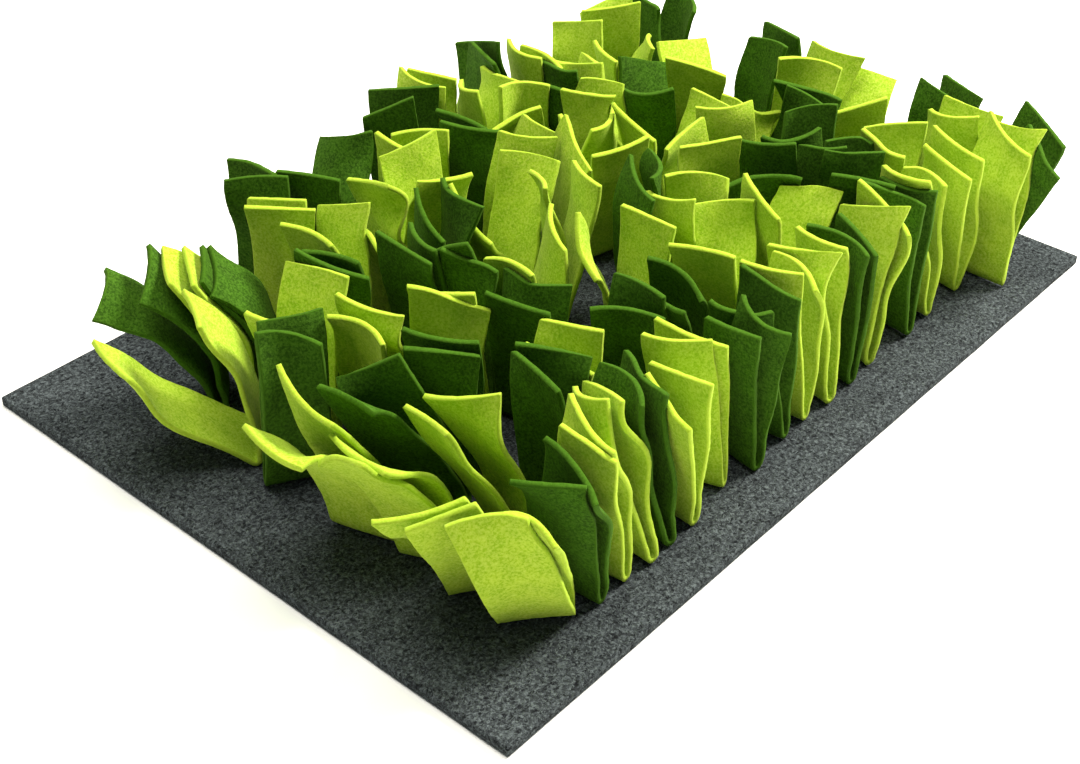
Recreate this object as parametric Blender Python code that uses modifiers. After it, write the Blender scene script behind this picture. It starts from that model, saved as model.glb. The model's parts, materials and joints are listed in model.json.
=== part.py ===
"""Snuffle mat: a felt base with a dense pile of folded fleece strips.

Metres, +Z up. The origin is the middle of the base's underside, +X runs along the long side.
"""
import itertools
import math

import bmesh
import bpy
import numpy as np
from mathutils.bvhtree import BVHTree

MM = 0.001

# Base: one flat piece of pressed felt
BASE_LENGTH = 500 * MM
BASE_WIDTH = 350 * MM
BASE_THICKNESS = 5.5 * MM
BASE_EDGE = 0.6 * MM

# Strips: fleece cut to one size, each folded across its middle and sewn down at the fold
STRIP_WIDTH = 34 * MM
STRIP_LENGTH = 176 * MM
FLEECE_THICKNESS = 2.6 * MM
FOLD_RADIUS = 4.5 * MM
SEAT_GAP = 0.4 * MM
FOLD_SPANS = 2
FOLD_SLANT = 0.6
LEAF_SPANS = 6

# Easing: leaves that would touch lean away from each other, a little at a time
CLEARANCE = 1.2 * MM
EASE_ROUNDS = 150
EASE_ANGLE = 1.0
EASE_STEP = 0.4 * MM

COLOURS = {
    "felt": (0.045, 0.047, 0.050, 1.0),
    "lime": (0.42, 0.60, 0.03, 1.0),
    "green": (0.035, 0.11, 0.008, 1.0),
}

# One row for each strip. x, y: middle of the fold on the base, mm. turn: the fold's heading, degrees
# from the short side, anticlockwise. off: how far the fold lies off the strip's middle, mm, longer in
# front. Then for the front leaf and the back leaf, degrees: lean, away from the fold at the foot;
# curl, more lean at the tip; slant, sideways towards the fold's right end; twist, anticlockwise.
COLUMNS = ("colour", "x", "y", "turn", "off",
           "front_lean", "front_curl", "front_slant", "front_twist",
           "back_lean", "back_curl", "back_slant", "back_twist")
STRIPS = (
    # right side, from the near end to the far end
    ("lime", -186, -134, 48, 0, 34, -25, -20, 10, -14, 0, -8, -10),
    ("lime", -188, -106, 52, 0, 42, 0, -22, 0, -14, -15, -28, 0),
    ("green", -162, -134, 0, 0, 18, -8, 8, 15, -5, 0, 8, 5),
    ("lime", -145, -133, 6, 0, 16, -4, 4, 6, -7, 0, 0, 0),
    ("lime", -125, -135, -6, 0, 19, 0, -12, -15, -9, 0, -10, -10),
    ("green", -109, -134, -8, 0, 15, 0, -6, -10, -5, 0, -4, 0),
    ("lime", -92, -133, -4, 0, 14, 12, 10, 5, -3, -5, 6, 0),
    ("lime", -66, -128, 16, 0, 8, -12, -8, 10, 1, 0, -4, 0),
    ("green", -38, -132, -9, 0, 12, 0, 6, 10, -2, 0, 8, 0),
    ("green", -12, -128, 3, 0, 20, -5, -5, 15, -9, 0, 0, 5),
    ("lime", 8, -127, 2, 4, 14, 0, -3, 12, -4, 0, 0, 0),
    ("lime", 32, -129, -11, 0, 6, -4, -4, -3, 2, 0, -6, 0),
    ("green", 54, -128, -12, 0, 6, 5, 4, 0, 2, 0, 6, 0),
    ("lime", 78, -127, -24, 0, 4, -10, 0, 20, 3, 0, 0, 10),
    ("green", 112, -127, -8, 0, 15, -15, 0, 15, -4, 0, 0, 10),
    ("lime", 136, -125, -10, 4, 12, -12, 0, 15, -2, 0, 0, 0),
    ("lime", 170, -124, -12, 0, 10, 0, 8, 0, 2, 0, 0, 0),
    ("green", 210, -130, -10, 0, 2, 0, 26, 0, 5, 0, 12, 0),
    # near end, from right to left
    ("lime", -190, -78, 20, 0, 6, 44, -22, 0, -2, -42, -20, 0),
    ("green", -162, -50, 34, 0, 12, 15, -28, -10, -6, 0, -24, 0),
    ("lime", -197, -40, 16, 0, 4, 44, -16, 0, -4, -42, -14, 0),
    ("green", -192, 12, 60, 0, 6, 0, 0, 0, -2, 10, 4, 0),
    ("lime", -188, 46, -44, 0, 62, -40, 0, 20, 0, -10, 0, 0),
    ("green", -174, 90, -40, 0, 14, 34, 0, 0, -6, -34, 0, 0),
    ("lime", -161, 80, -40, 0, 10, 34, 0, 0, -2, -34, 0, 0),
    # second line
    ("lime", -154, -94, -8, 0, 22, 5, -14, 0, -14, 0, -14, 0),
    ("green", -138, -38, 10, 0, 14, 0, 6, 20, -4, 0, 0, 10),
    ("lime", -144, 8, 16, 0, 12, 3, 10, -10, -4, 0, 5, 0),
    ("lime", -164, 35, 15, 0, 14, 0, 4, 5, -6, 10, 0, 0),
    ("green", -127, 48, 26, 0, 12, -15, 4, -10, -2, 0, 0, 0),
    ("green", -148, 71, -40, 0, 6, 32, 0, 0, 2, -32, 0, 0),
    # third line
    ("lime", -100, -74, 13, 0, 17, -8, 9, 0, 0, 0, 5, 0),
    ("lime", -116, -18, 8, 0, 12, 0, 5, 10, 0, 0, 0, 0),
    ("green", -86, -40, 8, 4, 12, 10, 5, 15, -2, 15, 0, 10),
    ("green", -94, 22, -5, 0, 12, 15, 5, 10, 0, -15, 0, -10),
    ("lime", -120, 102, 12, 0, -2, -8, 6, 10, 6, 0, 0, 0),
    ("green", -104, 130, 25, 0, 4, 0, 0, 0, 4, 0, -6, 0),
    # fourth line
    ("green", -58, -84, 18, 0, 10, 15, 0, 10, -2, -10, 0, -10),
    ("green", -58, 48, -32, 0, 6, 10, 16, 10, 4, -15, 5, 0),
    ("lime", -68, 78, 2, 0, 10, 15, 12, 10, 4, -10, 0, -15),
    ("green", -74, 122, 20, 0, 10, 0, 5, 0, 20, 0, 0, 10),
    ("lime", -56, -18, -8, 0, 12, 20, 8, 15, 4, 15, 0, -20),
    # fifth line
    ("green", -22, -80, 0, 0, 16, 10, 8, 10, 0, -15, 8, 0),
    ("lime", -8, -42, -24, 2, 10, 5, 12, -15, 6, 15, 0, 20),
    ("lime", -16, 38, 2, 0, 14, 15, 10, -15, 4, 15, 0, 15),
    ("lime", -14, 106, 30, 2, 12, 10, 0, -15, 10, -15, 0, 15),
    # sixth line
    ("lime", 20, -76, 20, 0, 10, 15, 0, -20, 4, 20, 0, 25),
    ("green", 28, 98, 15, 0, 12, 10, 5, 15, 6, -15, 0, -10),
    # seventh line
    ("lime", 62, -84, -5, 2, 5, 0, 0, -10, 4, 15, 0, 15),
    ("lime", 66, 34, 78, 2, 14, 10, -10, -10, 12, -15, 0, 20),
    ("lime", 56, 122, -12, 2, 10, 5, 8, -10, 6, 15, 0, 15),
    # eighth line
    ("green", 104, -48, 20, 0, 12, 10, 0, 15, 8, -15, 0, -15),
    ("lime", 122, -14, 35, 3, 10, 10, -8, 15, 8, 15, 0, -20),
    ("green", 92, 96, 8, 0, 12, 0, 6, 15, 6, -15, 0, -15),
    ("lime", 136, 118, 20, 0, 14, 0, 8, -15, 24, 0, -6, 15),
    # ninth line
    ("lime", 154, -84, 0, 2, 2, 10, 10, -15, 26, -15, 0, 20),
    ("lime", 200, -42, 35, 2, 18, 5, -5, 15, 14, 20, 4, -15),
    ("lime", 170, 50, 42, 2, 10, 0, 0, -20, 16, 25, 0, 15),
    ("lime", 186, 126, 43, 4, 6, 0, -4, -10, 12, 15, 0, 20),
)


def clear_scene():
    for item in list(bpy.data.objects):
        bpy.data.objects.remove(item, do_unlink=True)


def make_material(name, roughness):
    material = bpy.data.materials.new(name)
    material.use_nodes = True
    shader = material.node_tree.nodes["Principled BSDF"]
    shader.inputs["Base Color"].default_value = COLOURS[name]
    shader.inputs["Roughness"].default_value = roughness
    shader.inputs["Metallic"].default_value = 0.0
    return material


def make_collection(name):
    group = bpy.data.collections.new(name)
    bpy.context.scene.collection.children.link(group)
    return group


def make_base(group, material):
    """One flat rectangle of felt with slightly broken edges."""
    mesh = bpy.data.meshes.new("base_felt")
    shape = bmesh.new()
    bmesh.ops.create_cube(shape, size=1.0)
    bmesh.ops.scale(shape, vec=(BASE_LENGTH, BASE_WIDTH, BASE_THICKNESS), verts=shape.verts)
    bmesh.ops.translate(shape, vec=(0, 0, BASE_THICKNESS / 2), verts=shape.verts)
    shape.to_mesh(mesh)
    shape.free()
    base = bpy.data.objects.new("base_felt", mesh)
    base.data.materials.append(material)
    edge = base.modifiers.new("broken edge", "BEVEL")
    edge.width = BASE_EDGE
    edge.segments = 1
    group.objects.link(base)
    return base


def turned(vector, degrees):
    """The vector turned anticlockwise about +Z."""
    angle = math.radians(degrees)
    x, y, z = vector
    return np.array((x * math.cos(angle) - y * math.sin(angle), x * math.sin(angle) + y * math.cos(angle), z))


def leaf_stations():
    """Distances along a leaf as shares: the fold's part first, then the free part."""
    fold = [(step / FOLD_SPANS, 0.0) for step in range(FOLD_SPANS + 1)]
    free = [(1.0, step / LEAF_SPANS) for step in range(1, LEAF_SPANS + 1)]
    return fold + free


def leaf_sections(leaf, front):
    """Middle points and sideways directions along one leaf, from the fold's middle to the tip.

    The fold lies along Y with its right end at -Y, and the front is -X.
    """
    lean = math.radians(leaf["lean"])
    curl = math.radians(leaf["curl"])
    slant = math.radians(leaf["slant"])
    fold_length = FOLD_RADIUS * (math.pi / 2 - lean)
    free_length = leaf["reach"] - fold_length
    outward = np.array((-1.0 if front else 1.0, 0.0, 0.0))
    sideways = np.array((0.0, -1.0, 0.0))
    up = np.array((0.0, 0.0, 1.0))

    def frame(fold_share, free_share):
        tilt = math.pi / 2 + (lean - math.pi / 2) * fold_share + curl * free_share
        out = turned(outward, leaf["twist"] * free_share)
        side = turned(sideways, leaf["twist"] * free_share)
        along = math.sin(tilt) * out + math.cos(tilt) * up
        skew = slant * (FOLD_SLANT * fold_share + (1.0 - FOLD_SLANT) * free_share)
        return (math.cos(skew) * along + math.sin(skew) * side,
                math.cos(skew) * side - math.sin(skew) * along)

    point = np.zeros(3)
    points = [point]
    sides = [frame(0.0, 0.0)[1]]
    stations = leaf_stations()
    for (fold_a, free_a), (fold_b, free_b) in zip(stations, stations[1:]):
        span = (fold_b - fold_a) * fold_length + (free_b - free_a) * free_length
        middle = frame((fold_a + fold_b) / 2, (free_a + free_b) / 2)[0]
        point = point + middle * span
        points.append(point)
        sides.append(frame(fold_b, free_b)[1])
    return np.array(points), np.array(sides)


def strip_settings():
    """The table's rows as one dictionary for each strip, with its two leaves."""
    strips = []
    for row in STRIPS:
        value = dict(zip(COLUMNS, row))
        leaves = []
        for face, sign in (("front", 1), ("back", -1)):
            leaf = {key: value[face + "_" + key] for key in ("lean", "curl", "slant", "twist")}
            leaf["reach"] = STRIP_LENGTH / 2 + sign * value["off"] * MM
            leaves.append(leaf)
        strips.append({
            "colour": value["colour"],
            "place": np.array((value["x"] * MM, value["y"] * MM, 0.0)),
            "turn": value["turn"],
            "leaves": leaves,
        })
    return strips


def leaf_in_world(strip, number):
    points, sides = leaf_sections(strip["leaves"][number], number == 0)
    rotate = np.array([turned(axis, strip["turn"]) for axis in np.eye(3)])
    return points @ rotate + strip["place"], sides @ rotate


def leaf_corners(points, sides, spare):
    """Four corners of the fleece at each section of a leaf, half of the spare room larger all round."""
    along = np.gradient(points, axis=0)
    normals = np.cross(along, sides)
    normals /= np.linalg.norm(normals, axis=1)[:, None]
    half_width = (STRIP_WIDTH + spare) / 2
    half_thickness = (FLEECE_THICKNESS + spare) / 2
    corners = [points + across * half_width * sides + through * half_thickness * normals
               for across, through in ((-1, -1), (1, -1), (1, 1), (-1, 1))]
    return np.stack(corners, axis=1), normals


def padded_leaf(points, sides):
    """A closed search tree around one leaf with the clearance added."""
    corners, normals = leaf_corners(points, sides, CLEARANCE)
    verts = corners.reshape(-1, 3)
    last = 4 * (len(points) - 1)
    faces = [(0, 1, 2, 3), (last + 3, last + 2, last + 1, last)]
    for ring in range(len(points) - 1):
        for side in range(4):
            here = 4 * ring + side
            there = 4 * ring + (side + 1) % 4
            faces.append((here, there, there + 4, here + 4))
    tree = BVHTree.FromPolygons(verts.tolist(), faces)
    return tree, verts.min(axis=0), verts.max(axis=0), normals


def face_ring(face):
    """The section of the padded leaf that a face belongs to."""
    if face < 2:
        return face * (FOLD_SPANS + LEAF_SPANS)
    return (face - 2) // 4


def padded_leaves(strips):
    """Every leaf of every strip as it stands now, with its search tree."""
    shapes = []
    for owner, strip in enumerate(strips):
        for number in (0, 1):
            points, sides = leaf_in_world(strip, number)
            tree, low, high, normals = padded_leaf(points, sides)
            shapes.append({"owner": owner, "number": number, "points": points, "normals": normals,
                           "tree": tree, "low": low, "high": high})
    return shapes


def shared_faces(first, second):
    """Pairs of faces where two padded leaves meet; near their own fold two leaves may meet."""
    if (first["low"] > second["high"]).any() or (second["low"] > first["high"]).any():
        return []
    hits = first["tree"].overlap(second["tree"])
    if first["owner"] == second["owner"]:
        hits = [hit for hit in hits if min(face_ring(hit[0]), face_ring(hit[1])) > FOLD_SPANS]
    return hits


def ease_apart(strips):
    """Lean, slant and shift the leaves by small steps until none comes nearer than the clearance."""
    for _ in range(EASE_ROUNDS):
        touching = 0
        for first, second in itertools.combinations(padded_leaves(strips), 2):
            hits = shared_faces(first, second)
            if hits:
                touching += 1
                separate(strips, first, second, hits)
        if not touching:
            break
    return touching


def separate(strips, first, second, hits):
    """Move two touching leaves a small step apart, along the normal of the sheet that is touched."""
    first_ring = sum(face_ring(hit[0]) for hit in hits) / len(hits)
    second_ring = sum(face_ring(hit[1]) for hit in hits) / len(hits)
    normal = first["normals"][round(first_ring)]
    foot_gap = (second["points"][0] - first["points"][0]) @ normal
    near_gap = (second["points"][round(second_ring)] - first["points"][round(first_ring)]) @ normal
    gap = foot_gap if abs(foot_gap) > FOLD_RADIUS else near_gap
    away = normal if gap > 0 else -normal
    for shape, ring, push in ((first, first_ring, -away), (second, second_ring, away)):
        strip = strips[shape["owner"]]
        leaf = strip["leaves"][shape["number"]]
        outward = turned((1.0 if shape["number"] else -1.0, 0.0, 0.0), strip["turn"])
        sideways = turned((0.0, -1.0, 0.0), strip["turn"])
        leaf["lean"] += EASE_ANGLE * float(push @ outward)
        leaf["slant"] += EASE_ANGLE * float(push @ sideways)
        nearness = 1.0 - ring / (FOLD_SPANS + LEAF_SPANS)
        strip["place"] += EASE_STEP * nearness ** 2 * push * np.array((1.0, 1.0, 0.0))


def make_strip(group, name, strip, material):
    """A flat grid laid along the folded path, then given the fleece's thickness."""
    spans = 2 * (FOLD_SPANS + LEAF_SPANS)
    front_points, front_sides = leaf_sections(strip["leaves"][0], True)
    back_points, back_sides = leaf_sections(strip["leaves"][1], False)
    points = np.vstack((front_points[::-1], back_points[1:]))
    sides = np.vstack((front_sides[::-1], back_sides[1:]))
    mesh = bpy.data.meshes.new(name)
    shape = bmesh.new()
    bmesh.ops.create_grid(shape, x_segments=spans, y_segments=1, size=0.5)
    for vert in shape.verts:
        station = round((vert.co.x + 0.5) * spans)
        across = -2 * vert.co.y
        vert.co = points[station] + across * STRIP_WIDTH / 2 * sides[station]
    shape.to_mesh(mesh)
    shape.free()
    mesh.shade_smooth()
    item = bpy.data.objects.new(name, mesh)
    item.data.materials.append(material)
    lowest = leaf_corners(points, sides, 0.0)[0][:, :, 2].min()
    seat = BASE_THICKNESS + SEAT_GAP - lowest
    item.location = (strip["place"][0], strip["place"][1], seat)
    item.rotation_euler = (0.0, 0.0, math.radians(strip["turn"]))
    fleece = item.modifiers.new("fleece", "SOLIDIFY")
    fleece.thickness = FLEECE_THICKNESS
    fleece.offset = 0.0
    fleece.use_even_offset = True
    group.objects.link(item)
    return item


def main():
    clear_scene()
    group = make_collection("snuffle_mat")
    materials = {"felt": make_material("felt", 0.95),
                 "lime": make_material("lime", 0.9),
                 "green": make_material("green", 0.9)}
    make_base(group, materials["felt"])
    strips = strip_settings()
    left = ease_apart(strips)
    print("leaves still touching:", left)
    for number, strip in enumerate(strips, start=1):
        make_strip(group, f"strip_{number:02d}", strip, materials[strip["colour"]])


main()
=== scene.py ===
# Snuffle mat: grey felt base with a dense pile of folded fleece strips.
import itertools
import json
import math
import random

import bmesh
import bpy
import numpy as np
from mathutils import Matrix, Vector, noise
from mathutils.bvhtree import BVHTree

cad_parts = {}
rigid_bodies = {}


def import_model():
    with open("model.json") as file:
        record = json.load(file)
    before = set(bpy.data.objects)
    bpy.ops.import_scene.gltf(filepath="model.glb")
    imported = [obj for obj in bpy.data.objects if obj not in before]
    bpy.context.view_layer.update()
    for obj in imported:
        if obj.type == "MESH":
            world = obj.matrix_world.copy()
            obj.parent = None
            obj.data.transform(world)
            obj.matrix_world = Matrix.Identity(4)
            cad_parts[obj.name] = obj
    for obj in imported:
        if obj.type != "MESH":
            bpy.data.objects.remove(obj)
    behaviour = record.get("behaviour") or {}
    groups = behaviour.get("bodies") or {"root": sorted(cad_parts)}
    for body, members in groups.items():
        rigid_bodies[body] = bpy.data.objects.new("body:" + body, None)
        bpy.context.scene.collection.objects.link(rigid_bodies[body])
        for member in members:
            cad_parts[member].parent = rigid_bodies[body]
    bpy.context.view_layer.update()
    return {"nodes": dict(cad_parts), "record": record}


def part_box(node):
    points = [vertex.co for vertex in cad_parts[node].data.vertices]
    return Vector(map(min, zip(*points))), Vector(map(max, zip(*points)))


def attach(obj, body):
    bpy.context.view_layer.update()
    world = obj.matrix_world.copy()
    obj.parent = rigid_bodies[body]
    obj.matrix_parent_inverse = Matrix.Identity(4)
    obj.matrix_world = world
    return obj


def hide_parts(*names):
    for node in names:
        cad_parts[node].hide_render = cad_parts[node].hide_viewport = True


for spare in list(bpy.data.objects):  # a new file's own cube, lamp and camera
    bpy.data.objects.remove(spare, do_unlink=True)
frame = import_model()
print("frame loaded:", len(frame["nodes"]), "nodes")

mm = 0.001


def linear(hexColour):
    # sRGB hex to the linear colour that a shader takes
    channels = [int(hexColour[start:start + 2], 16) / 255 for start in (1, 3, 5)]
    return (*[channel / 12.92 if channel <= 0.04045 else ((channel + 0.055) / 1.055) ** 2.4
              for channel in channels], 1.0)


def addNode(tree, kind, values=None, links=None, **options):
    # one shader node with its settings, socket values and incoming links
    node = tree.nodes.new("ShaderNode" + kind)
    for name, value in options.items():
        setattr(node, name, value)
    for socket, value in (values or {}).items():
        node.inputs[socket].default_value = value
    for socket, source in (links or {}).items():
        tree.links.new(source, node.inputs[socket])
    return node


cameraView = {
    "azimuth": -49.3512,  # degrees, from straight in front of the long side
    "elevation": 36.4474,
    "roll": 0.7864,
    "distance": 0.8539,  # metres from the target
    "target": (-0.0499, -0.0173, 0.0),
    "lens": 54.02,  # mm
    "sensor": 36,  # mm wide
}


def makeCamera():
    azimuth = math.radians(cameraView["azimuth"])
    elevation = math.radians(cameraView["elevation"])
    back = Vector((math.sin(azimuth) * math.cos(elevation),
                   -math.cos(azimuth) * math.cos(elevation), math.sin(elevation)))
    right = Vector((0, 0, 1)).cross(back).normalized()
    axes = Matrix((right, back.cross(right), back)).transposed()
    place = Vector(cameraView["target"]) + back * cameraView["distance"]
    lens = bpy.data.cameras.new("camera")
    lens.lens = cameraView["lens"]
    lens.sensor_width = cameraView["sensor"]
    camera = bpy.data.objects.new("camera", lens)
    camera.matrix_world = (Matrix.Translation(place) @ axes.to_4x4()
                           @ Matrix.Rotation(math.radians(cameraView["roll"]), 4, "Z"))
    bpy.context.scene.collection.objects.link(camera)
    bpy.context.scene.camera = camera


makeCamera()
print("camera placed")


fleece = {
    "width": 34 * mm,
    "length": 176 * mm,
    "thickness": 2.6 * mm,
    "rowsAlong": 44,  # quads along a strip
    "rowsAcross": 8,
    "redraw": 12,  # points per quad when a strip's line is drawn anew
    "border": 0.22,  # share of a quad, for the narrow row inside each cut edge
    "clearance": 0.3 * mm,  # between two strips that lean on each other
    "rimCrease": 0.55,  # a cut edge keeps its corners
    "lump": 0.5 * mm,  # how uneven the cut and the nap leave the surface
    "lumpSize": 4 * mm,
}

# Needle-punched polyester felt, dark grey fibres mixed with pale and black ones: dull and speckled.
# A span holds two values of its pattern, and the share of the colour at each of them.
feltLook = {
    "ground": "#2f3335",
    "dark": "#131517",
    "pale": "#626a6c",
    "roughness": 0.95,
    "speckle": 1.7 * mm,  # pale flecks
    "pepper": 2.6 * mm,  # dark flecks
    "strand": 4.4 * mm,  # real fibres are far finer; drawn as coarse as they need to show
    "darkSpan": (0.44, 0.6, 0.0, 1.0),
    "paleSpan": (0.5, 0.66, 0.0, 0.85),
    "strandSpan": (0.0, 0.05, 0.4, 0.0),
    "bump": 0.35 * mm,
    "bumpStrength": 0.7,
}

# Polyester fleece, knitted, brushed and sheared: a matt nap in small tufts with a soft bloom, with
# painted shade between the tufts and an even colour along the cut edges, a shade paler as a painted
# highlight. One entry for each dye.
fleeceLooks = {
    "lime_fleece": {
        "ground": "#a6c32e",
        # darker nap where it lies another way, and the painted shade between the tufts
        "patchToneAndPitShade": "#7fa616",
        "pale": "#bdd052",
        # the cut edges' even colour, a shade paler as a painted highlight
        "edge": "#a5c034",
        "sheen": "#e2eba0",
        "sheenWeight": 0.12,
    },
    "green_fleece": {
        "ground": "#355b0b",
        # darker nap where it lies another way, and the painted shade between the tufts
        "patchToneAndPitShade": "#223d07",
        "pale": "#4d7420",
        # the cut edges' even colour, a shade paler as a painted highlight
        "edge": "#3a5e0e",
        "sheen": "#9ab040",
        "sheenWeight": 0.05,
    },
}
nap = {  # what both dyes share
    "roughness": 0.95,
    "sheenRoughness": 0.5,
    "tuft": 1.3 * mm,  # of brushed fibre; drawn as coarse as it needs to show
    "patch": 9 * mm,  # where the nap lies another way
    "edgeWidth": 0.9 * mm,
    "deepSpan": (0.35, 0.65, 0.0, 0.7),
    "paleSpan": (0.42, 0.68, 0.0, 0.75),
    # painted shade in the hollows between the tufts, in the darker colour
    "pitShadeSpan": (0.5, 0.3, 0.0, 0.8),
    # along the cut edges an even colour, a shade paler as a painted highlight
    "cutEdgeHighlightSpan": (0.0, 0.45 * mm, 0.6, 0.0),
    "bump": 0.5 * mm,
    "bumpStrength": 0.6,
}
spanSockets = ("From Min", "From Max", "To Min", "To Max")


def newMaterial(name, roughness):
    material = bpy.data.materials.new(name)
    material.use_nodes = True
    shader = material.node_tree.nodes["Principled BSDF"]
    shader.inputs["Roughness"].default_value = roughness
    shader.inputs["Metallic"].default_value = 0.0
    shader.inputs["Specular IOR Level"].default_value = 0.1  # loose fibres hardly shine
    return material, material.node_tree, shader


def layColours(tree, ground, layers):
    # colours laid over the ground one after another, each by its own share
    below = None
    for share, tone in layers:
        mix = addNode(tree, "Mix", {6: linear(ground), 7: linear(tone)}, {0: share},
                      data_type="RGBA")
        if below is not None:
            tree.links.new(below, mix.inputs[6])
        below = mix.outputs[2]
    return below


def makeFelt():
    material, tree, shader = newMaterial("needle_felt_grey", feltLook["roughness"])
    place = addNode(tree, "TexCoord").outputs["Object"]
    speckle = addNode(tree, "TexNoise", {"Scale": 1 / feltLook["speckle"], "Detail": 3.0,
                                         "Roughness": 0.75, "Distortion": 0.5},
                      {"Vector": place}).outputs["Fac"]
    pepper = addNode(tree, "TexNoise", {"Scale": 1 / feltLook["pepper"], "Detail": 2.0,
                                        "Roughness": 0.6, "W": 5.0},
                     {"Vector": place}, noise_dimensions="4D").outputs["Fac"]
    strand = addNode(tree, "TexNoise", {"Scale": 1 / feltLook["strand"], "Detail": 2.0,
                                        "Roughness": 0.6, "Distortion": 1.2},
                     {"Vector": place}).outputs["Fac"]
    aside = addNode(tree, "Math", {1: 0.5}, {0: strand}, operation="SUBTRACT").outputs[0]
    aside = addNode(tree, "Math", links={0: aside}, operation="ABSOLUTE").outputs[0]
    darkShare, paleShare, strandShare = [
        addNode(tree, "MapRange", dict(zip(spanSockets, feltLook[span])),
                {"Value": pattern}).outputs[0]
        for span, pattern in (("darkSpan", pepper), ("paleSpan", speckle), ("strandSpan", aside))]
    colour = layColours(tree, feltLook["ground"], (
        (darkShare, feltLook["dark"]),
        (paleShare, feltLook["pale"]),
        (strandShare, feltLook["pale"]),
    ))
    tree.links.new(colour, shader.inputs["Base Color"])
    height = addNode(tree, "Math", links={0: strandShare, 1: speckle}, operation="ADD").outputs[0]
    bump = addNode(tree, "Bump", {"Strength": feltLook["bumpStrength"],
                                  "Distance": feltLook["bump"]}, {"Height": height})
    tree.links.new(bump.outputs["Normal"], shader.inputs["Normal"])
    return material


def makeFleece(slot):
    look = fleeceLooks[slot]
    material, tree, shader = newMaterial("brushed_" + slot, nap["roughness"])
    place = addNode(tree, "TexCoord")
    tufts, patch = [
        addNode(tree, "TexNoise", {"Scale": 1 / size, "Detail": 3.0, "Roughness": rough},
                {"Vector": place.outputs["Object"]}).outputs["Fac"]
        for size, rough in ((nap["tuft"], 0.7), (nap["patch"], 0.6))]
    # distance from the nearest cut edge, from the strip's own flat coordinates
    centred = addNode(tree, "VectorMath", {1: (0.5, 0.5, 0.0)}, {0: place.outputs["UV"]},
                      operation="SUBTRACT")
    folded = addNode(tree, "VectorMath", links={0: centred.outputs[0]}, operation="ABSOLUTE")
    inside = addNode(tree, "VectorMath", {0: (0.5, 0.5, 0.0)}, {1: folded.outputs[0]},
                     operation="SUBTRACT")
    sized = addNode(tree, "VectorMath", {1: (fleece["length"], fleece["width"], 0.0)},
                    {0: inside.outputs[0]}, operation="MULTIPLY")
    parts = addNode(tree, "SeparateXYZ", links={0: sized.outputs[0]})
    border = addNode(tree, "Math", links={0: parts.outputs[0], 1: parts.outputs[1]},
                     operation="MINIMUM")
    ragged = addNode(tree, "Math", {1: nap["edgeWidth"]}, {0: tufts}, operation="MULTIPLY")
    fromEdge = addNode(tree, "Math", links={0: border.outputs[0], 1: ragged.outputs[0]},
                       operation="SUBTRACT").outputs[0]
    # the nap's darker patches and paler tufts, painted shade between the tufts, and the cut edges'
    # even colour with its painted highlight
    layers = [
        (addNode(tree, "MapRange", dict(zip(spanSockets, nap[span])),
                 {"Value": pattern}).outputs[0], look[tone])
        for span, pattern, tone in (("deepSpan", patch, "patchToneAndPitShade"), ("paleSpan", tufts, "pale"),
                                    ("pitShadeSpan", tufts, "patchToneAndPitShade"), ("cutEdgeHighlightSpan", fromEdge, "edge"))]
    tree.links.new(layColours(tree, look["ground"], layers), shader.inputs["Base Color"])
    shader.inputs["Sheen Weight"].default_value = look["sheenWeight"]
    shader.inputs["Sheen Roughness"].default_value = nap["sheenRoughness"]
    shader.inputs["Sheen Tint"].default_value = linear(look["sheen"])
    bump = addNode(tree, "Bump", {"Strength": nap["bumpStrength"], "Distance": nap["bump"]},
                   {"Height": tufts})
    tree.links.new(bump.outputs["Normal"], shader.inputs["Normal"])
    return material


materials = {"base_felt": makeFelt()}
for slot in fleeceLooks:
    materials[slot] = makeFleece(slot)
print("materials made:", len(materials))


def newPiece(name, shape, slot):
    # a finished mesh as a piece that rides with the mat
    mesh = bpy.data.meshes.new(name)
    shape.to_mesh(mesh)
    shape.free()
    mesh.shade_smooth()
    mesh.materials.append(materials[slot])
    piece = bpy.data.objects.new(name, mesh)
    bpy.context.scene.collection.objects.link(piece)
    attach(piece, "root")
    return piece


base = {
    "quad": 4 * mm,
    "edgeRound": 0.9 * mm,
    "edgeSteps": 3,
    "edgeAngle": 0.5,  # radians; a sharper edge than this is a cut edge
    "relief": 0.2 * mm,  # how far the felt's top rises and falls
    "reliefSize": 24 * mm,
    "edgeWave": 0.4 * mm,  # how far the cut edge wanders
    "edgeWaveSize": 30 * mm,
}
feltLow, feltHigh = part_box("base_felt")
feltTop = feltHigh.z


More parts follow.
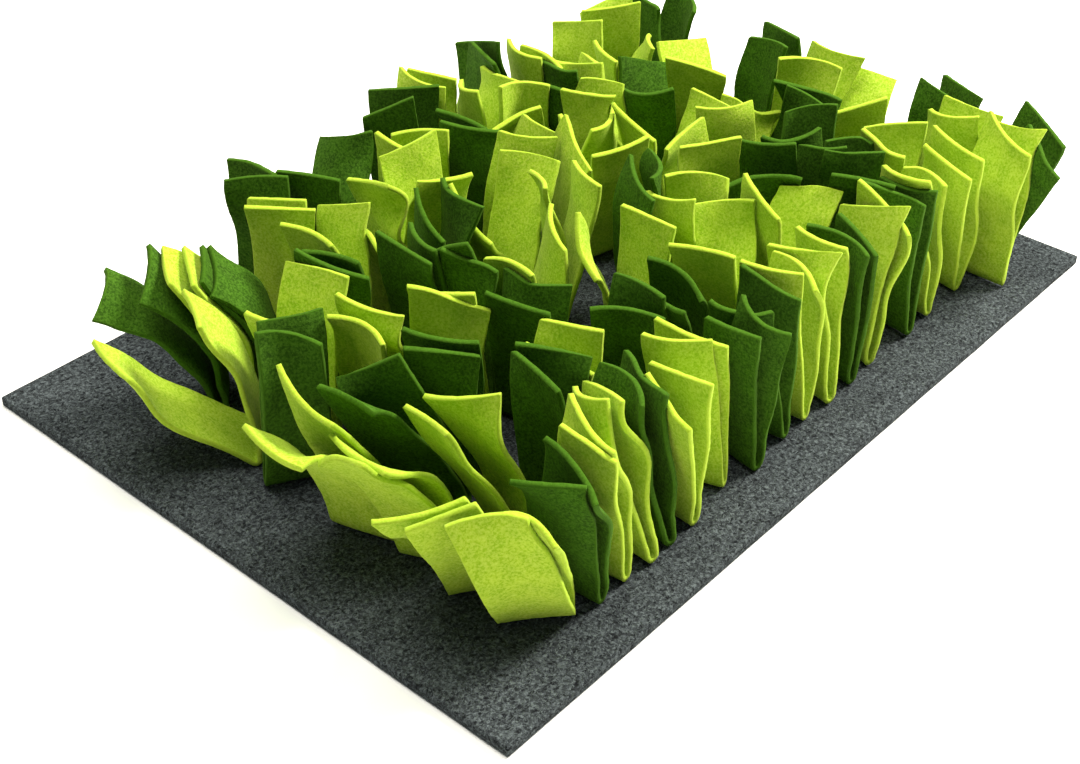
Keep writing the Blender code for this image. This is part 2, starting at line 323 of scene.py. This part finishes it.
def makeBase():
    # one cut rectangle of felt, lying flat
    size = feltHigh - feltLow
    shape = bmesh.new()
    bmesh.ops.create_grid(shape, x_segments=round(size.x / base["quad"]),
                          y_segments=round(size.y / base["quad"]), size=0.5)
    bmesh.ops.scale(shape, vec=(size.x, size.y, 1), verts=shape.verts)
    risen = bmesh.ops.extrude_face_region(shape, geom=shape.faces[:])
    bmesh.ops.translate(shape, vec=(0, 0, size.z), verts=[
        item for item in risen["geom"] if isinstance(item, bmesh.types.BMVert)])
    bmesh.ops.recalc_face_normals(shape, faces=shape.faces)
    rims = [edge for edge in shape.edges if edge.calc_face_angle(0) > base["edgeAngle"]]
    bmesh.ops.bevel(shape, geom=rims, offset=base["edgeRound"], segments=base["edgeSteps"],
                    profile=0.5, affect="EDGES", material=-1)
    for vert in shape.verts:
        if vert.co.z > size.z / 2:
            vert.co.z += base["relief"] * (noise.noise(vert.co / base["reliefSize"]) - 0.5)
        for axis in (0, 1):
            fromEdge = size[axis] / 2 - abs(vert.co[axis])
            if fromEdge < base["quad"] / 2:  # on the cut edge, with another noise for each axis
                wander = noise.noise(vert.co / base["edgeWaveSize"] + Vector((9, axis, 0)))
                vert.co[axis] -= math.copysign(base["edgeWave"] * (wander + 1) / 2, vert.co[axis])
    piece = newPiece("felt_base", shape, "base_felt")
    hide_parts("base_felt")


makeBase()
print("felt base made")


def shortestMate(vert):
    # the corner on the other face of the fleece
    return min(vert.link_edges, key=lambda edge: edge.calc_length()).other_vert(vert)


def ringsOf(node):
    # the solid's rings of four corners, from one cut end over the fold to the other
    shape = bmesh.new()
    shape.from_mesh(node.data)
    bmesh.ops.remove_doubles(shape, verts=shape.verts, dist=0.01 * mm)  # the triangles are loose
    top = max(shape.verts, key=lambda vert: vert.co.z)
    mate = shortestMate(top)
    beside = [vert for face in top.link_faces if mate in face.verts for vert in face.verts
              if vert not in (top, mate)]
    far = min(beside, key=lambda vert: abs((vert.co - top.co).length - fleece["width"]))
    ring = [top, mate, far, shortestMate(far)]
    rings = []
    seen = set()
    while ring:
        rings.append([vert.co.copy() for vert in ring])
        seen.update(ring)
        ring = list({edge.other_vert(vert) for vert in ring for edge in vert.link_edges} - seen)
    shape.free()
    return rings


def railsOf(rings):
    # the middle of the fleece at its left and right edge, for each ring
    rails = []
    for ring in rings:
        first = ring[0]
        mate = min(ring[1:], key=lambda corner: (corner - first).length)
        rest = [corner for corner in ring[1:] if corner is not mate]
        pair = [(first + mate) / 2, (rest[0] + rest[1]) / 2]
        if rails:
            pair.sort(key=lambda point: (point - rails[-1][0]).length)
        rails.append(pair)
    return np.array([[tuple(left), tuple(right)] for left, right in rails])


def smoothRows(rails, count):
    # the rails redrawn as smooth lines, with count equal steps along the strip
    middles = rails.mean(axis=1)
    stops = np.concatenate(([0.0], np.cumsum(np.linalg.norm(np.diff(middles, axis=0), axis=1))))
    flat = rails.reshape(len(rails), 6)
    slopes = np.gradient(flat, stops, axis=0)
    fine = np.linspace(0.0, stops[-1], fleece["redraw"] * count)
    span = np.clip(np.searchsorted(stops, fine, side="right") - 1, 0, len(stops) - 2)
    size = (stops[span + 1] - stops[span])[:, None]
    share = (fine - stops[span])[:, None] / size
    curve = ((2 * share ** 3 - 3 * share ** 2 + 1) * flat[span]
             + (share ** 3 - 2 * share ** 2 + share) * size * slopes[span]
             + (3 * share ** 2 - 2 * share ** 3) * flat[span + 1]
             + (share ** 3 - share ** 2) * size * slopes[span + 1])
    centre = curve.reshape(-1, 2, 3).mean(axis=1)
    run = np.concatenate(([0.0], np.cumsum(np.linalg.norm(np.diff(centre, axis=0), axis=1))))
    even = np.linspace(0.0, run[-1], count + 1)
    columns = [np.interp(even, run, curve[:, column]) for column in range(6)]
    return np.stack(columns, axis=1).reshape(-1, 2, 3)


across = np.linspace(-1.0, 1.0, fleece["rowsAcross"] + 1)  # from the left edge to the right edge


def gridBetween(rails, widthShare=1.0):
    # points of the fleece's middle surface, rows along the strip and columns across it
    middle = rails.mean(axis=1)
    half = (rails[:, 1] - rails[:, 0]) / 2
    half *= (fleece["width"] / 2 / np.linalg.norm(half, axis=1))[:, None]
    return middle[:, None, :] + across[None, :, None] * widthShare * half[:, None, :]


def leafShares(rails):
    # for each row: 0 at the fold's middle and 1 at the tip, and the fold's row
    fold = int(np.argmin(rails.mean(axis=1)[:, 2]))
    rows = len(rails)
    shares = [(fold - row) / fold if row < fold else (row - fold) / (rows - 1 - fold)
              for row in range(rows)]
    return np.array(shares), fold


def quadList(rows, columns):
    # the quads of such a grid, for a search tree
    corners = np.arange(rows * columns).reshape(rows, columns)
    return np.stack((corners[:-1, :-1], corners[1:, :-1], corners[1:, 1:], corners[:-1, 1:]),
                    axis=2).reshape(-1, 4).tolist()


# Strips beyond the frame's own: the same cut, folded and sewn down between them.
# x, y: middle of the fold, mm. turn: the fold's heading from the short side, anticlockwise. Then
# for each leaf, degrees: lean away from the fold, curl at the tip, slant towards the fold's right
# end, twist. A row finds its place near the one it gives.
moreStrips = {
    "foldRadius": 4.5 * mm,
    "foldSlant": 0.6,  # share of the slant that a leaf takes in its fold
    "seatGap": 0.4 * mm,
    "firstWidth": 0.12,  # share of the full width before a strip opens out among its neighbours
    "columns": ("slot", "x", "y", "turn", "frontLean", "frontCurl", "frontSlant", "frontTwist",
                "backLean", "backCurl", "backSlant", "backTwist"),
    "rows": (
        ("lime_fleece", 196, -106, -10, 2, 2, 0, 0, 2, 2, 0, 0),
        ("green_fleece", 212, 34, -18, 10, 0, 10, 0, 10, 0, 0, 0),
        ("lime_fleece", 212, 66, 50, 6, 0, 0, 0, 10, 0, 0, 0),
        ("lime_fleece", 186, -136, -16, 2, 2, 0, 0, 2, 2, 0, 0),
        ("green_fleece", 8, 138, 38, 14, 0, -5, 0, 5, 0, 0, 0),
        ("green_fleece", 140, -50, 36, 10, 5, -10, 0, 8, 0, 0, 0),
        ("lime_fleece", 62, 94, 65, 14, 5, -16, 0, 5, 0, 0, 0),
        ("lime_fleece", 100, 20, -20, 15, 0, 5, 0, 15, 15, 0, 0),
        ("green_fleece", 182, 94, 30, 10, 0, 0, 0, 10, 0, 0, 0),
        ("green_fleece", 22, -22, -10, 8, 10, 10, 15, 8, 10, 0, -20),
        ("lime_fleece", 16, 66, 0, 8, -10, 10, 15, 8, 15, 0, -15),
        ("green_fleece", 124, 48, 40, 8, 5, -4, -15, 8, 10, 0, 15),
        ("green_fleece", 166, 0, 50, 8, 10, -10, 10, 8, -10, 0, -20),
    ),
}


def leafLine(row, face):
    # middle points and sideways directions along one leaf, in even steps from the fold's middle
    lean, curl, slant, twist = (math.radians(row[face + bend])
                                for bend in ("Lean", "Curl", "Slant", "Twist"))
    steps = fleece["rowsAlong"] // 2
    reach = fleece["length"] / 2
    foldLength = moreStrips["foldRadius"] * (math.pi / 2 - lean)
    outward = Vector((-1 if face == "front" else 1, 0, 0))
    point = Vector()
    line = []
    for step in range(steps + 1):
        distance = reach * step / steps
        foldShare = min(distance / foldLength, 1.0)
        freeShare = max(distance - foldLength, 0.0) / (reach - foldLength)
        spin = Matrix.Rotation(twist * freeShare, 3, "Z")
        tilt = math.pi / 2 + (lean - math.pi / 2) * foldShare + curl * freeShare
        skew = slant * (moreStrips["foldSlant"] * foldShare
                        + (1 - moreStrips["foldSlant"]) * freeShare)
        along = math.sin(tilt) * (spin @ outward) + math.cos(tilt) * Vector((0, 0, 1))
        side = spin @ Vector((0, -1, 0))
        if step:
            point = point + (math.cos(skew) * along + math.sin(skew) * side) * reach / steps
        line.append((point, math.cos(skew) * side - math.sin(skew) * along))
    return line


def furtherStrip(number, values):
    # a strip as its row says, before it takes its soft shape
    row = dict(zip(moreStrips["columns"], values))
    line = leafLine(row, "front")[::-1] + leafLine(row, "back")[1:]
    half = fleece["width"] / 2
    rails = np.array([[tuple(point - side * half), tuple(point + side * half)]
                      for point, side in line])
    turn = np.array(Matrix.Rotation(math.radians(row["turn"]), 3, "Z"))
    rails = rails @ turn.T + np.array((row["x"] * mm, row["y"] * mm, 0.0))
    rails[:, :, 2] += (feltTop + moreStrips["seatGap"] + fleece["thickness"] / 2
                       - rails[:, :, 2].min())
    return {"name": f"strip_more_{number:02d}", "node": None, "slot": row["slot"], "rails": rails,
            "opening": moreStrips["firstWidth"]}


# The rest of the pile: strips sewn wherever the others leave a free spot on the felt.
fillers = {
    "seed": 7,
    "areas": (  # low x, low y, high x and high y of the parts that they fill, mm
        (-96, -112, 216, 142),
        (-186, -130, -96, 60),
    ),
    "step": 7,  # mm between two spots
    "jitter": 3.5,  # mm
    "spotRoom": 4.5 * mm,  # round a spot before it's worth trying
    "tries": 28,  # for each spot
    "most": 34,  # strips
    "limeShare": 0.7,
    "turn": (5, 30),  # degrees: the middle value and the spread
    "lean": (0, 16),  # degrees: the least and the most, as for the rest
    "curl": (-10, 15),
    "slant": (-12, 12),
    "twist": (-20, 20),
    "nudge": (10, 10, 30),  # how far a strip may go to find room: x and y in mm, turn in degrees
    "nudges": 120,  # places tried for each row
    "footShare": 0.45,  # share of the leaf that hardly gives way
    "footRoom": 3.0 * mm,
    "leafWidth": 0.4,  # share of the width that needs room further up
    "leafRoom": 2.4 * mm,
}


def nudgedStrip(number, values, strips):
    # the strip where its row says, or else in the first place nearby that is free
    draw = random.Random(number)
    for attempt in range(fillers["nudges"]):
        reach = attempt / fillers["nudges"]
        moves = [reach * most * draw.uniform(-1, 1) for most in fillers["nudge"]]
        place = tuple(value + move for value, move in zip(values[1:4], moves))
        moved = values[:1] + place + values[4:]
        strip = furtherStrip(number, moved)
        if isFree(strip, strips):
            return strip
    return None


def furtherStrips(strips):
    # the rows of the table, and then one free spot after another
    draw = random.Random(fillers["seed"])
    made = []
    for values in moreStrips["rows"]:
        strip = nudgedStrip(len(made) + 1, values, strips + made)
        if strip:
            made.append(strip)
    print("rows that found room:", len(made), "of", len(moreStrips["rows"]))
    step = fillers["step"]
    spots = [(x, y) for lowX, lowY, highX, highY in fillers["areas"]
             for x in range(lowX, highX, step) for y in range(lowY, highY, step)]
    draw.shuffle(spots)
    wanted = len(made) + fillers["most"]
    for x, y in spots:
        spot = (x * mm, y * mm, feltTop + fillers["spotRoom"])
        if not all(hasRoom([spot], treeOf(other), fillers["spotRoom"])
                   for other in strips + made):
            continue
        for _ in range(fillers["tries"]):
            slot = "lime_fleece" if draw.random() < fillers["limeShare"] else "green_fleece"
            values = [slot, x + draw.uniform(-1, 1) * fillers["jitter"],
                      y + draw.uniform(-1, 1) * fillers["jitter"], draw.gauss(*fillers["turn"])]
            values += [draw.uniform(*fillers[bend])
                       for bend in ("lean", "curl", "slant", "twist") * 2]
            strip = furtherStrip(len(made) + 1, values)
            if isFree(strip, strips + made):
                made.append(strip)
                break
        if len(made) == wanted:
            break
    return made


def hasRoom(points, tree, room):
    # whether the strip that the tree holds stays clear of all the points
    return all(tree.find_nearest(Vector(point), room)[0] is None for point in points)


def treeOf(strip):
    # a search tree for the strip as it stands flat and at full width, kept with the strip
    if "tree" not in strip:
        points = gridBetween(strip["rails"])
        strip["low"] = points.reshape(-1, 3).min(axis=0)
        strip["high"] = points.reshape(-1, 3).max(axis=0)
        strip["tree"] = BVHTree.FromPolygons(points.reshape(-1, 3).tolist(),
                                             quadList(*points.shape[:2]))
    return strip["tree"]


def isFree(strip, others):
    # whether its foot at full width, and its leaves at part of their width, clear all the others;
    # every second point will do
    grid = gridBetween(strip["rails"])
    inner = gridBetween(strip["rails"], fillers["leafWidth"])
    shares, fold = leafShares(strip["rails"])
    front = BVHTree.FromPolygons(grid[:fold].reshape(-1, 3).tolist(),
                                 quadList(fold, grid.shape[1]))
    back = grid[fold:][shares[fold:] > fillers["footShare"]][::2, ::2].reshape(-1, 3)
    if not hasRoom(back, front, fillers["leafRoom"]):
        return False
    foot = grid[shares < fillers["footShare"]][:, ::2].reshape(-1, 3)
    leaf = inner[shares >= fillers["footShare"]][::2, ::2].reshape(-1, 3)
    low, high = grid.reshape(-1, 3).min(axis=0), grid.reshape(-1, 3).max(axis=0)
    for other in others:
        tree = treeOf(other)
        if (other["low"] > high).any() or (low > other["high"]).any():
            continue
        if not (hasRoom(foot, tree, fillers["footRoom"])
                and hasRoom(leaf, tree, fillers["leafRoom"])):
            return False
    return True


def frameStrips():
    # the strips that the frame holds as solids
    slots = {part["node"]: part["material_slot"] for part in frame["record"]["subparts"]}
    found = []
    for name in sorted(frame["nodes"]):
        if name != "base_felt":
            rails = smoothRows(railsOf(ringsOf(frame["nodes"][name])), fleece["rowsAlong"])
            found.append({"name": name + "_fleece", "node": name, "slot": slots[name],
                          "rails": rails, "opening": 1.0})
    return found


# How cut fleece departs from a flat strip; each strip draws its own share of these.
# A growth is the power of the distance from the fold with which the bend comes in.
softness = {
    "seed": 41,
    "cup": 3.2 * mm,  # across the leaf, at its side edges
    "cupLevel": 0.33,  # mean of a cup's rise across the leaf
    "cupGrowth": 0.7,
    "bow": 6.5 * mm,  # along the leaf, at its tip
    "bowGrowth": 2.2,
    "wave": 2.4 * mm,  # along the side edges
    "waveLength": (34 * mm, 66 * mm),
    "flick": 8.0 * mm,  # of one corner at the tip
    "flickGrowth": 4,
    "cutSlip": 2.8 * mm,  # of a cut end that isn't square
    "cutGrowth": 6,
    "widthSlip": 1.2 * mm,  # of the side edges at the tip
    "pinch": 2.4 * mm,  # by which the seam draws the two leaves together above the fold
    "pinchStops": (0.0, 0.09, 0.25, 0.7),  # shares of the leaf
    "pinchShares": (0.0, 1.0, 1.0, 0.0),
}


def gridNormals(grid):
    # which way the fleece faces at each point
    normals = np.cross(np.gradient(grid, axis=0), np.gradient(grid, axis=1))
    return normals / np.linalg.norm(normals, axis=2)[:, :, None]


def softShape(strip, draw):
    # the moves that turn the flat strip into a soft one, for each point of its grid
    flat = gridBetween(strip["rails"])
    normals = gridNormals(flat)
    alongRows = np.gradient(flat, axis=0)
    alongRows /= np.linalg.norm(alongRows, axis=2)[:, :, None]
    sideways = np.gradient(flat, axis=1)
    sideways /= np.linalg.norm(sideways, axis=2)[:, :, None]
    run = np.linspace(0.0, fleece["length"], len(flat))[:, None]
    moves = np.zeros_like(flat)
    order = np.arange(len(flat))
    for rows in (order < strip["fold"], order > strip["fold"]):
        share = (strip["shares"] * rows)[:, None]
        corner = draw.choice((-1, 1))
        edge = across[None, :]
        lift = (draw.gauss(0, softness["cup"]) * (edge ** 2 - softness["cupLevel"])
                * share ** softness["cupGrowth"])
        lift = lift + draw.gauss(0, softness["bow"]) * share ** softness["bowGrowth"]
        lift = lift + (draw.gauss(0, softness["flick"]) * ((1 + corner * edge) / 2) ** 2
                       * share ** softness["flickGrowth"])
        for side in (-1, 1):
            length = draw.uniform(*softness["waveLength"])
            phase = draw.uniform(0, 2 * math.pi)
            nearEdge = ((1 + side * edge) / 2) ** 2
            lift = lift + draw.gauss(0, softness["wave"]) * nearEdge * share * np.sin(
                2 * math.pi * run / length + phase)
        slip = draw.gauss(0, softness["cutSlip"]) * edge * share ** softness["cutGrowth"]
        spread = draw.gauss(0, softness["widthSlip"]) * edge * share
        moves += (lift[:, :, None] * normals + slip[:, :, None] * alongRows
                  + spread[:, :, None] * sideways)
    seam = flat[strip["fold"]].mean(axis=0)
    outward = np.cross(sideways[strip["fold"]].mean(axis=0), (0.0, 0.0, 1.0))
    size = np.linalg.norm(outward)
    away = (flat - seam) @ (outward / size)
    drawn = np.interp(strip["shares"], softness["pinchStops"], softness["pinchShares"])[:, None]
    pinch = -np.sign(away) * np.minimum(np.abs(away), softness["pinch"]) * drawn
    return moves + pinch[:, :, None] * outward / size


settling = {
    "steps": 18,  # the soft shapes grow in, a step at a time
    "rounds": 2,  # and after each step the leaves press each other apart
    "lastRounds": 10,
    "press": 1.6,  # more than 1, because smoothing takes some of each move away
    "farthest": 1.5 * mm,  # a point's move in one round
    "reach": 12 * mm,  # and in all
    "spread": 0.3,  # share of each round's bend that the cloth passes on to its surroundings
    "smoothing": 3,  # times that a round's moves are shared with their neighbours
    "foldShare": 0.35,  # share of the leaf that the seam holds together
    "easeShare": 0.5,  # share of the leaf over which it starts to give way
    "least": 1e-6,  # metres; nearer than this, a press has no direction
    "crossings": 3,  # quads of one leaf through another, from which a strip is left out
}


def limited(moves, most):
    # the same moves, none of them longer than the most
    sizes = np.linalg.norm(moves, axis=2, keepdims=True)
    return moves * (most / np.maximum(sizes, most))


def smoothed(moves, rounds):
    # each point's move shared with its neighbours, so that the cloth bends and doesn't dent
    for _ in range(rounds):
        padded = np.pad(moves, ((1, 1), (1, 1), (0, 0)), mode="edge")
        beside = (padded[:-2, 1:-1] + padded[2:, 1:-1] + padded[1:-1, :-2] + padded[1:-1, 2:]) / 4
        moves = (moves + beside) / 2
    return moves


def leavesOf(strips):
    # each strip's two leaves as they stand now, with a search tree for each
    leaves = []
    for strip in strips:
        rows = len(strip["grid"])
        for part in (slice(0, strip["fold"] + 1), slice(strip["fold"], rows)):
            grid = strip["grid"][part]
            points = grid.reshape(-1, 3)
            tree = BVHTree.FromPolygons(points.tolist(), quadList(*grid.shape[:2]))
            leaves.append({"strip": strip, "rows": part, "points": points, "tree": tree,
                           "share": np.repeat(strip["shares"][part], grid.shape[1]),
                           "low": points.min(axis=0), "high": points.max(axis=0)})
    return leaves


def pressOff(leaf, other, room, push):
    # moves for the points of one leaf that are too near another leaf
    points = leaf["points"]
    near = ((points > other["low"] - room) & (points < other["high"] + room)).all(axis=1)
    if leaf["strip"] is other["strip"]:
        near &= leaf["share"] > settling["foldShare"]
    for index in np.flatnonzero(near):
        spot, _, _, distance = other["tree"].find_nearest(Vector(points[index]), room)
        if spot is not None and distance > settling["least"]:  # each of the two gives way by half
            push[index] += (points[index] - np.array(spot)) * (room / distance - 1) / 2


def pressApart(strips):
    # one round in which leaves that are too near each other give way
    room = fleece["thickness"] + fleece["clearance"]
    leaves = leavesOf(strips)
    pushes = [np.zeros_like(leaf["points"]) for leaf in leaves]
    for first, second in itertools.combinations(range(len(leaves)), 2):
        one, two = leaves[first], leaves[second]
        if (one["low"] < two["high"] + room).all() and (two["low"] < one["high"] + room).all():
            pressOff(one, two, room, pushes[first])
            pressOff(two, one, room, pushes[second])
    most = 0.0
    floor = feltTop + fleece["thickness"] / 2 + fleece["clearance"]
    for strip, front, back in zip(strips, pushes[0::2], pushes[1::2]):
        columns = strip["grid"].shape[1]
        moves = np.zeros_like(strip["grid"])
        moves[:strip["fold"] + 1] += front.reshape(-1, columns, 3)
        moves[strip["fold"]:] += back.reshape(-1, columns, 3)
        most = max(most, float(np.abs(moves).max()))
        moves = settling["press"] * smoothed(moves, settling["smoothing"]) * strip["give"]
        moves = limited(moves, settling["farthest"])
        pressed = strip["pressed"] + moves
        pressed += settling["spread"] * strip["give"] * (smoothed(pressed, 1) - pressed)
        strip["pressed"] = limited(pressed, settling["reach"])
        strip["grid"] = strip["free"] + strip["pressed"]
        strip["grid"][:, :, 2] = np.maximum(strip["grid"][:, :, 2], floor)
    return most


def settle(strips):
    # the strips open out and take their soft shapes while they press each other apart
    draw = random.Random(softness["seed"])
    for strip in strips:
        strip["shares"], strip["fold"] = leafShares(strip["rails"])
        ease = np.clip(strip["shares"] / settling["easeShare"], 0.0, 1.0)
        strip["give"] = (ease * ease * (3 - 2 * ease))[:, None, None]
        strip["free"] = gridBetween(strip["rails"], strip["opening"])
        strip["pressed"] = np.zeros_like(strip["free"])
        full = gridBetween(strip["rails"]) + softShape(strip, draw)
        strip["growth"] = (full - strip["free"]) / settling["steps"]
    for _ in range(settling["steps"]):
        for strip in strips:
            strip["free"] = strip["free"] + strip["growth"]
            strip["grid"] = strip["free"] + strip["pressed"]
        for _ in range(settling["rounds"]):
            most = pressApart(strips)
    for _ in range(settling["lastRounds"]):
        most = pressApart(strips)
    print("strips settled, last press", round(most / mm, 2), "mm")


def tangled(strips):
    # the further strips that a leaf has gone through; they are left out of the pile
    found = set()
    leaves = leavesOf(strips)
    for one, two in itertools.combinations(leaves, 2):
        if (one["low"] > two["high"]).any() or (two["low"] > one["high"]).any():
            continue
        hits = one["tree"].overlap(two["tree"])
        if one["strip"] is two["strip"]:  # its leaves always meet at the fold
            shares = one["strip"]["shares"][one["rows"]]
            hits = [hit for hit in hits
                    if shares[hit[0] // fleece["rowsAcross"]] > settling["foldShare"]]
        names = sorted(leaf["strip"]["name"] for leaf in (one, two) if not leaf["strip"]["node"])
        if names and len(hits) >= settling["crossings"]:
            found.add(names[-1])
    return found


napLumps = bpy.data.textures.new("nap lumps", "CLOUDS")  # for the uneven surface
napLumps.noise_scale = fleece["lumpSize"]


def bordered(points):
    # the same rows with a narrow one inside each end, so that smoothing leaves the cut edge crisp
    first = points[:1] + (points[1:2] - points[:1]) * fleece["border"]
    last = points[-1:] + (points[-2:-1] - points[-1:]) * fleece["border"]
    return np.concatenate((points[:1], first, points[1:-1], last, points[-1:]))


def makeStrip(strip):
    # a flat grid laid on the settled points, then given the fleece's thickness
    rowStops = bordered(np.linspace(0.0, 1.0, strip["grid"].shape[0]))
    columnStops = bordered(np.linspace(0.0, 1.0, strip["grid"].shape[1]))
    grid = bordered(bordered(strip["grid"]).swapaxes(0, 1)).swapaxes(0, 1)
    rows, columns = len(rowStops), len(columnStops)
    shape = bmesh.new()
    flat = shape.loops.layers.uv.new("flat")
    bmesh.ops.create_grid(shape, x_segments=rows - 1, y_segments=columns - 1, size=0.5)
    for vert in shape.verts:
        row = round((vert.co.x + 0.5) * (rows - 1))
        column = round((vert.co.y + 0.5) * (columns - 1))
        for loop in vert.link_loops:
            loop[flat].uv = (rowStops[row], columnStops[column])
        vert.co = grid[row, column]
    piece = newPiece(strip["name"], shape, strip["slot"])
    cloth = piece.modifiers.new("fleece", "SOLIDIFY")
    cloth.thickness = fleece["thickness"]
    cloth.offset = 0.0
    cloth.use_even_offset = True
    cloth.edge_crease_inner = fleece["rimCrease"]
    cloth.edge_crease_outer = fleece["rimCrease"]
    smooth = piece.modifiers.new("smooth", "SUBSURF")
    smooth.levels = 1
    smooth.render_levels = 1
    lumps = piece.modifiers.new("lumps", "DISPLACE")
    lumps.texture = napLumps
    lumps.texture_coords = "LOCAL"
    lumps.strength = fleece["lump"]
    if strip["node"]:
        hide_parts(strip["node"])


strips = frameStrips()
strips += furtherStrips(strips)
print("strips read:", len(strips))
settle(strips)
leftOut = tangled(strips)
print("strips left out:", len(leftOut))
for strip in strips:
    if strip["name"] not in leftOut:
        makeStrip(strip)
print("strips made")

studio = {
    "world": 0.3,  # light from all round
    "sky": (0.92, 1.0, 0.95),  # its colour
    "floor": "#f8f8f6",
    "floorRoughness": 0.9,
    "floorSize": 6,  # metres, from the middle
    "floorGap": 0.2 * mm,  # under the felt, so that the two don't flicker
    "warm": (1.0, 0.96, 0.88),  # colour of the lamps
    "lights": (  # place, metres; size, metres; power, watts
        ("key", (1.3, -0.6, 1.5), 0.7, 90),
        ("top", (-0.2, 0.3, 2.0), 1.2, 46),
    ),
}


def makeStudio():
    scene = bpy.context.scene
    world = bpy.data.worlds.new("studio")
    world.use_nodes = True
    world.node_tree.nodes["Background"].inputs["Color"].default_value = (*studio["sky"], 1)
    world.node_tree.nodes["Background"].inputs["Strength"].default_value = studio["world"]
    scene.world = world
    for name, place, size, power in studio["lights"]:
        lamp = bpy.data.lights.new(name, "AREA")
        lamp.size = size
        lamp.energy = power
        lamp.color = studio["warm"]
        light = bpy.data.objects.new(name, lamp)
        light.matrix_world = (Matrix.Translation(place)
                              @ Vector(place).to_track_quat("Z", "Y").to_matrix().to_4x4())
        scene.collection.objects.link(light)
    shape = bmesh.new()
    bmesh.ops.create_grid(shape, x_segments=1, y_segments=1, size=studio["floorSize"])
    bmesh.ops.translate(shape, vec=(0, 0, -studio["floorGap"]), verts=shape.verts)
    mesh = bpy.data.meshes.new("floor")
    shape.to_mesh(mesh)
    shape.free()
    # Matt white emulsion on a smooth board: even and dull, without grain.
    paint, _, shader = newMaterial("matt_white_paint", studio["floorRoughness"])
    shader.inputs["Base Color"].default_value = linear(studio["floor"])
    mesh.materials.append(paint)
    floor = bpy.data.objects.new("floor", mesh)
    scene.collection.objects.link(floor)
    scene.view_settings.view_transform = "Standard"


makeStudio()
print("studio lit")
